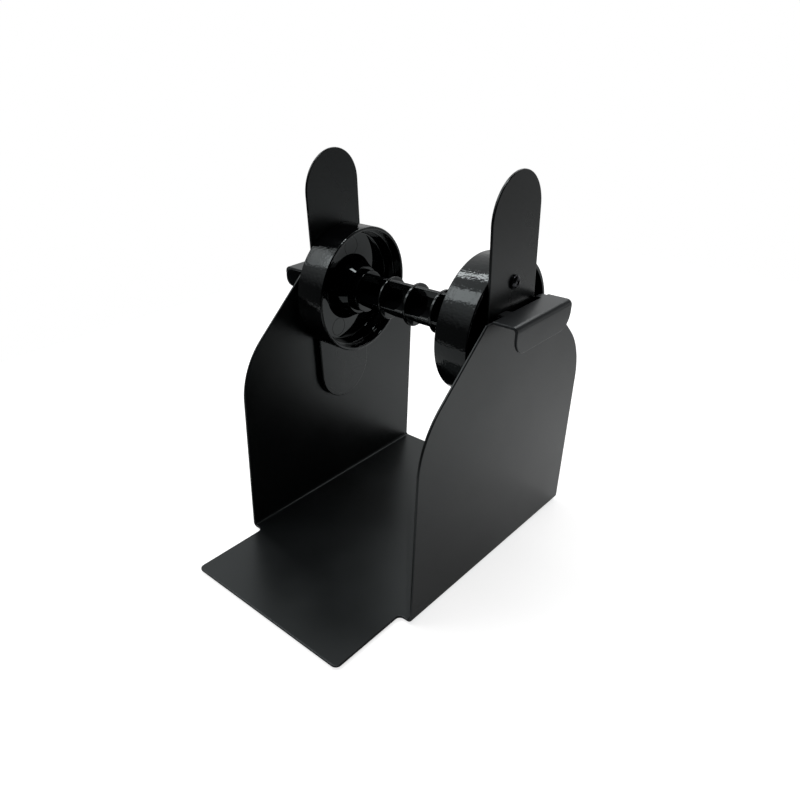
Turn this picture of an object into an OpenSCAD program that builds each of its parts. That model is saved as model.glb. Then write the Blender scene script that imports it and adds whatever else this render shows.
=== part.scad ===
// Label roll holder: a folded steel base, a lift-off spindle with two sliding wheels,
// and a hanger at each end of the spindle that hooks over the side wall.
// X runs along the spindle, Y to the back, Z up. The origin is at the middle of the
// footprint, on the surface that the holder stands on.

/* [Base] */
// Width over the two side walls
base_w = 128; // [110:0.5:150]
// Depth of each side wall, front to back
wall_depth = 158.5; // [140:0.5:180]
// Height of the side walls above the underside of the floor
wall_h = 156; // [146:0.5:164]
// Thickness of the base's steel sheet
sheet_t = 1.5; // [1:0.1:2]
// Inside radius of the two long bends
bend_r = 1.5; // [1:0.1:3]
// Length of each wall's straight top, front to back
wall_top_len = 58.5; // [55:0.5:64]
// Slope of the walls' upper front and rear edges, in degrees
slant_angle = 42; // [38:0.5:46]
// Radius of the sweep between an upright edge and its slant
sweep_r = 47; // [30:1:55]
// Reach of the tray in front of the side walls
tray_reach = 50.5; // [40:0.5:60]
// Width of the tray
tray_w = 112; // [92:0.5:116]
// Radius of the tray's front corners
tray_corner_r = 3.5; // [2:0.5:8]
// Width of the relief notch at the front end of each bend
notch_w = 3; // [2:0.1:4]
// Depth of the relief notches behind the walls' front edge
notch_depth = 5; // [3:0.5:8]

/* [Foot pads] */
// Diameter of each rubber pad
pad_d = 14; // [10:0.5:18]
// Thickness of the pads
pad_t = 1.2; // [0.8:0.1:2]
// Distance of a pad's middle from the nearest edges
pad_inset = 13; // [10:0.5:20]

/* [Hanger strips] */
// Width of each strip
strip_w = 43; // [38:0.5:48]
// Thickness of the strips' sheet
strip_t = 1.5; // [1:0.1:2]
// Length of the strip above the spindle's axis
strip_up = 80.7; // [66:0.1:92]
// Length of the strip below the spindle's axis
strip_down = 78.5; // [55:0.5:90]
// Forward lean of the strips, in degrees
strip_lean = 5; // [0:0.5:6]

/* [Hooks] */
// Length of the hook along the top of the wall
hook_len = 53.5; // [46:0.5:56]
// Thickness of the hook's sheet
hook_t = 1.5; // [1:0.1:1.8]
// Width of the hook from the strip's face to the outside of its flange
hook_reach = 18.2; // [14:0.1:24]
// Inside radius of the outer bend
hook_bend_r = 1.5; // [1:0.1:2.5]
// Depth of the outer flange below the hook's top
flange_h = 15; // [11:0.5:18]
// Radius of the flange's lower corners
flange_corner_r = 9; // [4:0.5:10]
// Depth of the inner leg below the hook's top
leg_h = 24; // [18:0.5:25]
// Radius of the leg's lower corners
leg_corner_r = 4; // [2:0.5:6]
// Width of the relief at the inner bend, measured from the strip's face
relief_w = 4.4; // [3.6:0.1:5.4]
// Depth of the window below the hook's top
window_drop = 5; // [4:0.1:7]
// Radius of the window's corners
window_r = 1.2; // [0.6:0.1:1.6]

/* [Bearing blocks] */
// Thickness of each block
block_t = 4.5; // [4:0.1:5.5]
// Radius of the block round its bore
block_mid_r = 13; // [10:0.5:15]
// Radius of the block's two ends
block_end_r = 7; // [6:0.25:8]
// Distance of the screw and of the peg from the spindle's axis
screw_reach = 26.5; // [23:0.5:27]
// Diameter of the block's locating peg
peg_d = 6; // [4:0.1:7]

/* [Fasteners] */
// Diameter of the screw's shank
screw_d = 4; // [3:0.1:4.4]
// Diameter of the screw's pan head
head_d = 7.4; // [6:0.1:8]
// Height of the screw's head
head_h = 2.5; // [1.8:0.1:3]
// Height of the head's rounded crown
crown_h = 1; // [0.6:0.1:1.3]
// Span of the cross recess
cross_span = 4.2; // [3:0.1:5]
// Width of the cross recess
cross_w = 0.9; // [0.6:0.1:1.2]
// Depth of the cross recess
cross_depth = 1.4; // [0.8:0.1:1.6]
// Width of the nut across its flats
nut_w = 7; // [6.6:0.1:8]
// Thickness of the nut
nut_t = 2.4; // [2:0.1:2.8]

/* [Spindle] */
// Height of the walls' top above the spindle's axis
axis_drop = 12.2; // [8:0.1:16]
// Diameter of the sockets at the spindle's two ends
socket_d = 21.2; // [19.5:0.1:22.5]
// Bore of the sockets
socket_bore_d = 16; // [12:0.1:17]
// Diameter of the ring collars, for a core of one inch
ring_d = 24.8; // [24:0.1:25.2]
// Width of a ring collar
ring_w = 1.8; // [1.2:0.1:3]
// Pitch of the ring collars
ring_pitch = 18; // [14:0.5:24]
// Diameter over the long ribs
rib_d = 24.2; // [23:0.1:24.6]
// Width of a long rib
rib_w = 2.2; // [1.2:0.1:3]
// Number of long ribs
rib_count = 4; // [2:1:6]
// Turn of the first rib from straight back, in degrees
rib_turn = 14; // [0:1:45]
// Diameter of the journal at each end
journal_d = 10; // [8:0.1:11]
// Thickness of the journal's flange
journal_flange_t = 1.2; // [1:0.1:2]
// Length of the journal's plug inside its socket
plug_len = 14.5; // [8:0.5:20]

/* [Wheels] */
// Outer diameter of a wheel, for a core of three inches
wheel_d = 75; // [70:0.1:75.5]
// Width of a wheel's rim
rim_w = 19.2; // [15:0.1:24]
// Wall of the rim at its two mouths
rim_t = 2; // [1.4:0.1:2.4]
// Depth of the step inside the rim's inner mouth
step_depth = 5; // [3:0.5:6]
// Height of that step
step_h = 1.6; // [1:0.1:2.4]
// Draft of the hollow from the step down to the web
hollow_draft = 1.2; // [0.4:0.1:2]
// Thickness of the web
web_t = 2; // [1.4:0.1:2.6]
// Gap between the web and the bearing block
web_gap = 1.6; // [1.2:0.1:2.4]
// Outer diameter of the hub at its free end
hub_d = 28; // [27.4:0.1:31]
// Outer diameter of the tapered hub where it meets the web
hub_foot_d = 39.5; // [36:0.5:46]
// Setback of the hub's end behind the rim's inner mouth
hub_setback = 1; // [0.5:0.1:3]
// Chamfer of the rim's outer edges
rim_chamfer = 0.5; // [0.3:0.1:0.8]

/* [Fits] */
// Gap between the hook's inner leg and the wall
leg_gap = 0.5; // [0.4:0.1:1]
// Gap between a strip and the wheel beside it
wheel_gap = 0.7; // [0.5:0.1:1.2]
// Gap between a journal's flange and its block
end_gap = 0.4; // [0.3:0.1:0.8]
// Gap between a journal's tip and the strip
tip_gap = 0.5; // [0.3:0.1:0.8]
// Radial running clearance of a journal and of a hub
run_gap = 0.05; // [0.03:0.01:0.09]
// Radial clearance of fixed fits
fix_gap = 0.05; // [0.03:0.01:0.1]
// Radial clearance of the screw in the strip and the block
screw_gap = 0.15; // [0.1:0.05:0.25]

/* [Hidden] */
// Overrun of every cut and sliver of every join inside one piece
over = 0.5;
// Where the hook's inner bend is cut open and where it stays, as shares of its length
leg_start_share = 0.19;
window_start_share = 0.33;
window_end_share = 0.86;
leg_end_share = 0.97;
// Heights
floor_z = pad_t;
wall_top_z = floor_z + wall_h;
axis_z = wall_top_z - axis_drop;
hook_top_z = wall_top_z + hook_t;
// Depths
front_y = -(tray_reach + wall_depth) / 2;
wall_front_y = front_y + tray_reach;
wall_rear_y = wall_front_y + wall_depth;
axis_y = (wall_front_y + wall_rear_y) / 2;
// Widths, from the middle outwards
wall_in_x = base_w / 2 - sheet_t;
strip_out_x = wall_in_x - leg_gap - hook_t;
strip_in_x = strip_out_x - strip_t;
block_in_x = strip_in_x - block_t;
spindle_end_x = block_in_x - end_gap - journal_flange_t;
web_out_x = block_in_x - web_gap;
web_in_x = web_out_x - web_t;
rim_out_x = strip_in_x - wheel_gap;
rim_in_x = rim_out_x - rim_w;
// Radii
bend_out_r = bend_r + sheet_t;
leg_bend_r = leg_gap - fix_gap;
hub_bore_r = ring_d / 2 + run_gap;
wheel_r = wheel_d / 2;
mouth_r = wheel_r - rim_t;
crown_r = (pow(head_d / 2, 2) + pow(crown_h, 2)) / (2 * crown_h);
// Ring collars between the two journals
ring_sets = floor((spindle_end_x - ring_w) / ring_pitch);
$fn = 96;

// A rectangle on the X axis whose lower left and lower right corners are round
module cup_outline(w, h, left_r, right_r) {
    translate([-w / 2, left_r]) square([w / 2, h - left_r]);
    translate([0, right_r]) square([w / 2, h - right_r]);
    translate([-w / 2 + left_r, 0]) square([w - left_r - right_r, h]);
    translate([-w / 2 + left_r, left_r]) circle(r = left_r);
    translate([w / 2 - right_r, right_r]) circle(r = right_r);
}

// Turns a Y-Z outline into a plate from x0 to x1
module plate_x(x0, x1) {
    translate([x0, 0, 0]) rotate([90, 0, 90]) linear_extrude(height = x1 - x0) children();
}

// Turns an X-Z outline into a bar from y0 to y1
module bar_y(y0, y1) {
    translate([0, y1, 0]) rotate([90, 0, 0]) linear_extrude(height = y1 - y0) children();
}

// Carries a shape drawn about the spindle's axis to its place, leaning with the strips
module on_hanger() {
    translate([0, axis_y, axis_z]) rotate([strip_lean, 0, 0]) children();
}

// Carries a shape drawn about the Z axis to the spindle's axis, with Z turned to X
module on_spindle() {
    translate([0, axis_y, axis_z]) rotate([0, 90, 0]) children();
}

// Outline of a side wall, with its swept and slanted front and rear edges
module wall_outline() {
    half = wall_depth / 2;
    top_y = wall_top_len / 2;
    corner_z = wall_h - (half - top_y) * tan(slant_angle);
    sweep_z = corner_z - sweep_r * tan((90 - slant_angle) / 2);
    // The slants start a hair inside the sweeps, so that the two cross in one clean line
    join_r = sweep_r - fix_gap;
    join_y = half - sweep_r + join_r * sin(slant_angle);
    join_z = sweep_z + join_r * cos(slant_angle);
    translate([axis_y, floor_z]) {
        polygon([
            [-half, 0],
            [half, 0],
            [half, sweep_z],
            [join_y, join_z],
            [top_y, wall_h],
            [-top_y, wall_h],
            [-join_y, join_z],
            [-half, sweep_z]
        ]);
        for (s = [-1, 1]) {
            translate([s * (half - sweep_r), sweep_z]) circle(r = sweep_r);
        }
    }
}

// Folded sheet: floor, two walls and the tray in front
module base() {
    color("#2b2c2e") difference() {
        union() {
            intersection() {
                bar_y(wall_front_y, wall_rear_y) translate([0, floor_z]) difference() {
                    cup_outline(base_w, wall_h, bend_out_r, bend_out_r);
                    translate([0, sheet_t]) cup_outline(base_w - 2 * sheet_t, wall_h, bend_r, bend_r);
                }
                plate_x(-base_w / 2 - over, base_w / 2 + over) wall_outline();
            }
            translate([0, front_y, floor_z]) linear_extrude(height = sheet_t) {
                cup_outline(tray_w, tray_reach + notch_depth + over, tray_corner_r, tray_corner_r);
            }
        }
        for (s = [-1, 1]) {
            translate([s * (tray_w / 2 + notch_w / 2), wall_front_y, floor_z - over]) {
                linear_extrude(height = bend_out_r + 2 * over) {
                    translate([-notch_w / 2, -over]) square([notch_w, notch_depth - notch_w / 2 + over]);
                    translate([0, notch_depth - notch_w / 2]) circle(d = notch_w, $fn = 32);
                }
            }
        }
    }
}

// Four rubber pads under the corners
module foot_pads() {
    color("#1a1a1b") for (s = [-1, 1]) {
        translate([s * (tray_w / 2 - pad_inset), front_y + pad_inset, 0]) cylinder(d = pad_d, h = pad_t, $fn = 48);
        translate([s * (tray_w / 2 - pad_inset), wall_rear_y - pad_inset, 0]) cylinder(d = pad_d, h = pad_t, $fn = 48);
    }
}

// Flat strip with round ends: finger tongue above the wall, guard below it
module right_strip_shape() {
    on_hanger() difference() {
        plate_x(strip_in_x, strip_out_x) {
            translate([-strip_w / 2, strip_w / 2 - strip_down]) square([strip_w, strip_up + strip_down - strip_w]);
            translate([0, strip_up - strip_w / 2]) circle(d = strip_w);
            translate([0, strip_w / 2 - strip_down]) circle(d = strip_w);
        }
        translate([strip_in_x - over, 0, screw_reach]) rotate([0, 90, 0]) {
            cylinder(r = screw_d / 2 + screw_gap, h = strip_t + 2 * over, $fn = 32);
        }
        translate([strip_in_x - over, 0, -screw_reach]) rotate([0, 90, 0]) {
            cylinder(r = peg_d / 2 + fix_gap, h = strip_t + 2 * over, $fn = 48);
        }
    }
}

// Folded hook over the wall's top: inner leg on the strip, cap and outer flange
module right_hook_shape() {
    y0 = axis_y - hook_len / 2;
    leg_y0 = y0 + hook_len * leg_start_share;
    leg_y1 = y0 + hook_len * leg_end_share;
    win_y0 = y0 + hook_len * window_start_share;
    win_y1 = y0 + hook_len * window_end_share;
    flange_x = strip_out_x + hook_reach;
    mid_x = strip_out_x + hook_reach / 2;
    deep = max(leg_h, flange_h) + over;
    difference() {
        intersection() {
            bar_y(y0, y0 + hook_len) translate([mid_x, hook_top_z]) rotate(180) difference() {
                cup_outline(hook_reach, deep, hook_bend_r + hook_t, leg_bend_r + hook_t);
                translate([0, hook_t]) cup_outline(hook_reach - 2 * hook_t, deep, hook_bend_r, leg_bend_r);
            }
            union() {
                plate_x(strip_out_x, strip_out_x + relief_w) translate([(leg_y0 + leg_y1) / 2, hook_top_z - leg_h]) {
                    cup_outline(leg_y1 - leg_y0, leg_h, leg_corner_r, leg_corner_r);
                }
                plate_x(strip_out_x + relief_w, mid_x) translate([y0, wall_top_z]) square([hook_len, hook_t]);
                plate_x(mid_x, flange_x) translate([axis_y, hook_top_z - flange_h]) {
                    cup_outline(hook_len, flange_h, flange_corner_r, flange_corner_r);
                }
            }
        }
        translate([strip_out_x - over, win_y0, hook_top_z - window_drop]) {
            linear_extrude(height = window_drop + over) {
                square([relief_w + over - window_r, win_y1 - win_y0]);
                translate([0, window_r]) square([relief_w + over, win_y1 - win_y0 - 2 * window_r]);
                for (y = [window_r, win_y1 - win_y0 - window_r]) {
                    translate([relief_w + over - window_r, y]) circle(r = window_r, $fn = 32);
                }
            }
        }
    }
}

// Moulded block inside the wheel's hollow: journal's bore, nut pocket, and a peg in the strip
module right_bearing_shape() {
    lean = acos((block_mid_r - block_end_r) / screw_reach);
    mid_r = block_mid_r - fix_gap;
    end_r = block_end_r - fix_gap;
    on_hanger() difference() {
        union() {
            translate([strip_in_x - over, 0, -screw_reach]) rotate([0, 90, 0]) {
                cylinder(d = peg_d, h = strip_t + over, $fn = 48);
            }
            plate_x(block_in_x, strip_in_x) {
                circle(r = block_mid_r);
                for (s = [-1, 1]) translate([0, s * screw_reach]) circle(r = block_end_r, $fn = 64);
                for (turn = [0, 180]) rotate(turn) polygon([
                    [-mid_r * sin(lean), 0],
                    [mid_r * sin(lean), 0],
                    [mid_r * sin(lean), mid_r * cos(lean)],
                    [end_r * sin(lean), screw_reach + end_r * cos(lean)],
                    [-end_r * sin(lean), screw_reach + end_r * cos(lean)],
                    [-mid_r * sin(lean), mid_r * cos(lean)]
                ]);
            }
        }
        translate([block_in_x - over, 0, 0]) rotate([0, 90, 0]) {
            cylinder(r = journal_d / 2 + run_gap, h = block_t + 2 * over);
        }
        translate([block_in_x - over, 0, screw_reach]) rotate([0, 90, 0]) {
            cylinder(r = screw_d / 2 + screw_gap, h = block_t + 2 * over, $fn = 32);
            cylinder(d = (nut_w + 2 * fix_gap) / cos(30), h = nut_t + over, $fn = 6);
        }
    }
}

// Pan-head screw through the strip into the nut
module right_screw_shape() {
    on_hanger() translate([strip_out_x, 0, screw_reach]) rotate([0, 90, 0]) difference() {
        union() {
            translate([0, 0, -strip_t - block_t]) cylinder(d = screw_d, h = strip_t + block_t + over, $fn = 32);
            intersection() {
                cylinder(d = head_d, h = head_h, $fn = 48);
                translate([0, 0, head_h - crown_r]) sphere(r = crown_r, $fn = 64);
            }
        }
        for (turn = [0, 90]) rotate(turn) translate([-cross_span / 2, -cross_w / 2, head_h - cross_depth]) {
            cube([cross_span, cross_w, cross_depth + over]);
        }
    }
}

// Hexagon nut sunk in the block
module right_nut_shape() {
    on_hanger() translate([block_in_x, 0, screw_reach]) rotate([0, 90, 0]) difference() {
        cylinder(d = nut_w / cos(30), h = nut_t, $fn = 6);
        translate([0, 0, -over]) cylinder(r = screw_d / 2 + fix_gap, h = nut_t + 2 * over, $fn = 32);
    }
}

// Cross of long ribs with ring collars, and a socket for a journal at each end
module spindle() {
    floor_x = spindle_end_x - plug_len - end_gap;
    socket_x = floor_x - rib_w;
    color("#1c1d1f") on_spindle() difference() {
        union() {
            for (i = [-ring_sets : ring_sets]) {
                translate([0, 0, i * ring_pitch - ring_w / 2]) cylinder(d = ring_d, h = ring_w);
            }
            for (x = [-spindle_end_x, socket_x]) {
                translate([0, 0, x]) cylinder(d = socket_d, h = spindle_end_x - socket_x);
            }
            intersection() {
                translate([0, 0, -spindle_end_x]) cylinder(d = rib_d, h = 2 * spindle_end_x);
                for (i = [0 : rib_count - 1]) rotate(90 + rib_turn + i * 360 / rib_count) {
                    translate([-rib_w / 2, -rib_w / 2, -spindle_end_x]) cube([ring_d, rib_w, 2 * spindle_end_x]);
                }
            }
        }
        for (x = [-spindle_end_x - over, floor_x]) {
            translate([0, 0, x]) cylinder(d = socket_bore_d, h = spindle_end_x - floor_x + over);
        }
    }
}

// End plug of the spindle: plug, flange and journal
module right_journal_shape() {
    on_spindle() translate([0, 0, spindle_end_x]) {
        translate([0, 0, -plug_len]) cylinder(r = socket_bore_d / 2 - fix_gap, h = plug_len + journal_flange_t / 2);
        cylinder(d = socket_d, h = journal_flange_t);
        cylinder(d = journal_d, h = journal_flange_t + end_gap + block_t - tip_gap);
    }
}

// Core wheel: stepped rim, web set back in the hollow, tapered hub that slides on the spindle
module right_wheel_shape() {
    hollow_r = mouth_r - step_h;
    on_spindle() rotate_extrude($fn = 128) polygon([
        [hub_bore_r, rim_in_x + hub_setback],
        [hub_d / 2, rim_in_x + hub_setback],
        [hub_foot_d / 2, web_in_x],
        [hollow_r - hollow_draft, web_in_x],
        [hollow_r, rim_in_x + step_depth],
        [mouth_r, rim_in_x + step_depth],
        [mouth_r, rim_in_x],
        [wheel_r - rim_chamfer, rim_in_x],
        [wheel_r, rim_in_x + rim_chamfer],
        [wheel_r, rim_out_x - rim_chamfer],
        [wheel_r - rim_chamfer, rim_out_x],
        [mouth_r, rim_out_x],
        [mouth_r, web_out_x],
        [hub_bore_r, web_out_x]
    ]);
}

module left_strip() { color("#28292b") mirror([1, 0, 0]) right_strip_shape(); }
module right_strip() { color("#28292b") right_strip_shape(); }
module left_hook() { color("#2e2f31") mirror([1, 0, 0]) right_hook_shape(); }
module right_hook() { color("#2e2f31") right_hook_shape(); }
module left_bearing() { color("#161718") mirror([1, 0, 0]) right_bearing_shape(); }
module right_bearing() { color("#161718") right_bearing_shape(); }
module left_screw() { color("#4a4b4d") mirror([1, 0, 0]) right_screw_shape(); }
module right_screw() { color("#4a4b4d") right_screw_shape(); }
module left_nut() { color("#8c8d90") mirror([1, 0, 0]) right_nut_shape(); }
module right_nut() { color("#8c8d90") right_nut_shape(); }
module left_journal() { color("#161718") mirror([1, 0, 0]) right_journal_shape(); }
module right_journal() { color("#161718") right_journal_shape(); }
module left_wheel() { color("#1f2022") mirror([1, 0, 0]) right_wheel_shape(); }
module right_wheel() { color("#1f2022") right_wheel_shape(); }

base();
foot_pads();
left_strip();
right_strip();
left_hook();
right_hook();
left_bearing();
right_bearing();
left_screw();
right_screw();
left_nut();
right_nut();
spindle();
left_journal();
right_journal();
left_wheel();
right_wheel();
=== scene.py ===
"""Looks of the label roll holder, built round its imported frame. Lengths are in metres."""

import math

import bmesh
import bpy
from mathutils import Matrix, Vector


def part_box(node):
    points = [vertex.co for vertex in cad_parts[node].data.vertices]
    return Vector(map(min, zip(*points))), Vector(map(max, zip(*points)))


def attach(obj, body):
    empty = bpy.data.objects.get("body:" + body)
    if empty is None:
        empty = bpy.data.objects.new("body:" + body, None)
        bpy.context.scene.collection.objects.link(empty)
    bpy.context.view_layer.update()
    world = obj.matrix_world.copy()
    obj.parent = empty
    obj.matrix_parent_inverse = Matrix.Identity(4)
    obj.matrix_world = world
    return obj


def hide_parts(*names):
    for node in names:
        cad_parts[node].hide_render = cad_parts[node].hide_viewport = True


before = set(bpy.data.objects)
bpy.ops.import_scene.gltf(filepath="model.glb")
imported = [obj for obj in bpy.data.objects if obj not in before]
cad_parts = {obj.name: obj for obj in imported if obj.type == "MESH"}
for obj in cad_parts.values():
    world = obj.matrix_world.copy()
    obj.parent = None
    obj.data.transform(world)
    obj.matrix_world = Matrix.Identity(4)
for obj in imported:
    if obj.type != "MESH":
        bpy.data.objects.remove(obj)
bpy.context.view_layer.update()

MM = 0.001
SIDES = (-1, 1)
FULL_TURN = 2 * math.pi
QUARTER = math.pi / 2

# Places read from the frame
base_low, base_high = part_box("base")
wheel_low, wheel_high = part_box("right_wheel")
hook_low, hook_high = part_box("right_hook")
strip_low, strip_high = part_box("right_strip")
spindle_low, spindle_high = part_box("spindle")
BLOCK_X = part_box("right_bearing")[0].x
AXIS_Y = (wheel_low.y + wheel_high.y) / 2
AXIS_Z = (wheel_low.z + wheel_high.z) / 2
FLOOR_Z = base_low.z
WALL_TOP_Z = base_high.z

# Base sheet
SHEET = 1.5 * MM
BEND_R = 3 * MM
WALL_DEPTH = 158.5 * MM
WALL_TOP = 58.5 * MM
SLANT = math.radians(42)
SWEEP_R = 47 * MM
TRAY_HALF = 56 * MM
TRAY_CORNER = 3.5 * MM
TRAY_ROOT_R = 3 * MM
BASE_EDGE = 0.6 * MM

# Hanger strips
STRIP_LEAN = math.radians(5)
STRIP_HALF = 21.5 * MM
STRIP_UP = 80.7 * MM
STRIP_DOWN = 78.5 * MM
STRIP_EDGE = 0.55 * MM
SCREW_REACH = 26.5 * MM
SCREW_HOLE_R = 2.15 * MM
PEG_HOLE_R = 3.05 * MM

# Hooks
LEG_BEND_R = 1.95 * MM
LEG_CORNER = 4 * MM
FLANGE_BEND_R = 3 * MM
FLANGE_DEPTH = 15 * MM
FLANGE_CORNER = 9 * MM
RELIEF = 4.4 * MM
WINDOW_DROP = 5 * MM
WINDOW_CORNER = 1.2 * MM
HOOK_EDGE = 0.4 * MM
# Where the leg and the window start and end, as shares of the hook's length
LEG_SHARES = (0.19, 0.97)
WINDOW_SHARES = (0.33, 0.86)

# Wheels
RIM = 2 * MM
STEP_DEPTH = 5 * MM
STEP_IN = 1.6 * MM
DRAFT = 1.2 * MM
WEB_INSET = 5.4 * MM
WEB = 2 * MM
HUB_R = 14 * MM
HUB_FOOT_R = 19.75 * MM
HUB_SETBACK = 1 * MM
HUB_BORE_R = 12.45 * MM
# Roundings of a wheel's corners, from the hub round the rim to the back
BORE_EDGE = 0.25 * MM
HUB_EDGE = 0.45 * MM
HUB_FOOT_EDGE = 0.6 * MM
HOLLOW_EDGE = 0.8 * MM
STEP_EDGE = 0.3 * MM
MOUTH_EDGE = 0.6 * MM
RIM_EDGE = 0.8 * MM
RIM_BACK_EDGE = 0.6 * MM
BACK_MOUTH_EDGE = 0.5 * MM
BACK_HOLLOW_EDGE = 0.8 * MM

# Fine raised rings that the ejector pins leave on a web: reach from the axis and angle of each
PIN_MARK_R = 5.6 * MM
PIN_MARK_WIDTH = 0.35 * MM
PIN_MARK_DEPTH = 0.06 * MM
PIN_MARK_PLACES = ((24.4 * MM, math.radians(87)), (25.5 * MM, math.radians(246)))
# Shares of a ring's width and height, from its outside to its inside
PIN_MARK_PROFILE = ((0, 0), (0.35, 1), (0.65, 1), (1, 0))

# Spindle
SOCKET_R = 10.6 * MM
SOCKET_BORE_R = 8 * MM
SOCKET_DEPTH = 14.9 * MM
SOCKET_EDGE = 0.3 * MM
COLLAR_R = 12.4 * MM
COLLAR_W = 1.8 * MM
COLLAR_PITCH = 18 * MM
COLLAR_EDGE = 0.4 * MM
COLLARS = 5
RIB_R = 12.1 * MM
RIB_W = 2.2 * MM
RIB_EDGE = 0.45 * MM
RIBS = 4
RIB_TURN = math.radians(14)
# The ribs end just inside the sockets' ends, as a share of the length from the middle
RIB_END_SHARE = 0.498
# The hole that a disc turned from a profile keeps at its axis
PIN_PRICK = 0.01 * MM

# Screws
SCREW_SHANK_R = 2 * MM
SCREW_TIP_EDGE = 0.3 * MM
SCREW_HEAD_R = 3.7 * MM
SCREW_HEAD_H = 2.5 * MM
HEAD_SEAT_EDGE = 0.2 * MM
HEAD_SIDE_H = 1.3 * MM
HEAD_SIDE_EDGE = 0.9 * MM
HEAD_CROWN_H = 2.25 * MM
HEAD_CROWN_R = 0.62 * SCREW_HEAD_R
HEAD_CROWN_EDGE = 2.2 * MM
RECESS_DEPTH = 1.4 * MM
RECESS_OVERRUN = 0.5 * MM
RECESS_FLOOR_HALF = 1.1 * MM
RECESS_MOUTH_HALF = 2.1 * MM
RECESS_HALF_W = 0.45 * MM
RECESS_TURN = 0.5
SCREW_EDGE = 0.08 * MM
# A radius that is as good as none
ON_AXIS = 0.0001 * MM

# Small parts
BLOCK_EDGE = 0.4 * MM
NUT_EDGE = 0.15 * MM
JOURNAL_EDGE = 0.2 * MM
PAD_R = 7 * MM
PAD_H = 1.2 * MM
PAD_EDGE = 0.35 * MM
PAD_INSET = 13 * MM

# Points closer than this are one
MERGE = 0.001 * MM
# Edges that turn by more than the first are rounded, and by less than the second dissolved
SHARP_ANGLE = math.radians(40)
FLAT_ANGLE = math.radians(1)
# Steps round a full turn
RIM_STEPS = 192
RING_STEPS = 160
MARK_STEPS = 72
SCREW_STEPS = 64
HOLE_STEPS = 48
PAD_STEPS = 48


def linear(hex_colour):
    """An sRGB hex colour as linear RGBA."""
    parts = [int(hex_colour[i : i + 2], 16) / 255 for i in (1, 3, 5)]
    return [c / 12.92 if c <= 0.04045 else ((c + 0.055) / 1.055) ** 2.4 for c in parts] + [1.0]


def add_node(tree, kind, inputs=None, **settings):
    """A node with its settings; an input takes a value, a socket, or a node's first output."""
    node = tree.nodes.new(kind)
    for name, value in settings.items():
        setattr(node, name, value)
    for name, value in (inputs or {}).items():
        if isinstance(value, bpy.types.Node):
            value = value.outputs[0]
        if isinstance(value, bpy.types.NodeSocket):
            tree.links.new(value, node.inputs[name])
        else:
            node.inputs[name].default_value = value
    return node


# Finishes

# The black coat and the black plastic both reflect a little cooler than the light
COOL_SHINE = (0.90, 0.985, 1.0, 1)
# How much of each noise's coarser lumps its finer ones keep
LUMP_FALL = 0.55
# The width over which the rubbing of the paper cores sets in
RUB_EDGE = 0.3 * MM


def new_material(name):
    """An empty material, its tree and the place on the piece that its patterns read."""
    material = bpy.data.materials.new(name)
    material.use_nodes = True
    tree = material.node_tree
    tree.nodes.clear()
    return material, tree, add_node(tree, "ShaderNodeTexCoord").outputs["Object"]


def finish_material(material, surface):
    """Ends a material in one Principled shader with these inputs."""
    tree = material.node_tree
    shader = add_node(tree, "ShaderNodeBsdfPrincipled", surface)
    add_node(tree, "ShaderNodeOutputMaterial", {"Surface": shader})
    return material


def powder_coat(name, dark, light, low_gloss, high_gloss):
    """Satin black polyester powder coat on steel sheet: a fine orange peel, even and slightly soft.

    The peel's real lumps are about 0.4 mm across; they are drawn at 0.8 mm so that they show.
    The colour and the shine drift over about 45 mm, as a sprayed coat's thickness does.
    """
    material, tree, where = new_material(name)
    peel = add_node(
        tree,
        "ShaderNodeTexNoise",
        {"Vector": where, "Scale": 1 / (0.8 * MM), "Detail": 1.0, "Roughness": LUMP_FALL},
    )
    drift = add_node(
        tree,
        "ShaderNodeTexNoise",
        {"Vector": where, "Scale": 1 / (45 * MM), "Detail": 2.0, "Roughness": LUMP_FALL},
    )
    colour = add_node(
        tree, "ShaderNodeMix", {0: drift, 6: linear(dark), 7: linear(light)}, data_type="RGBA"
    )
    gloss = add_node(
        tree,
        "ShaderNodeMapRange",
        {"Value": drift, "From Min": 0.35, "From Max": 0.65, "To Min": low_gloss, "To Max": high_gloss},
    )
    dimples = add_node(
        tree, "ShaderNodeBump", {"Height": peel, "Distance": 0.02 * MM, "Strength": 0.35}
    )
    return finish_material(
        material,
        {
            "Base Color": colour.outputs[2],
            "Roughness": gloss,
            "Normal": dimples,
            "IOR": 1.5,
            "Specular Tint": COOL_SHINE,
        },
    )


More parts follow.
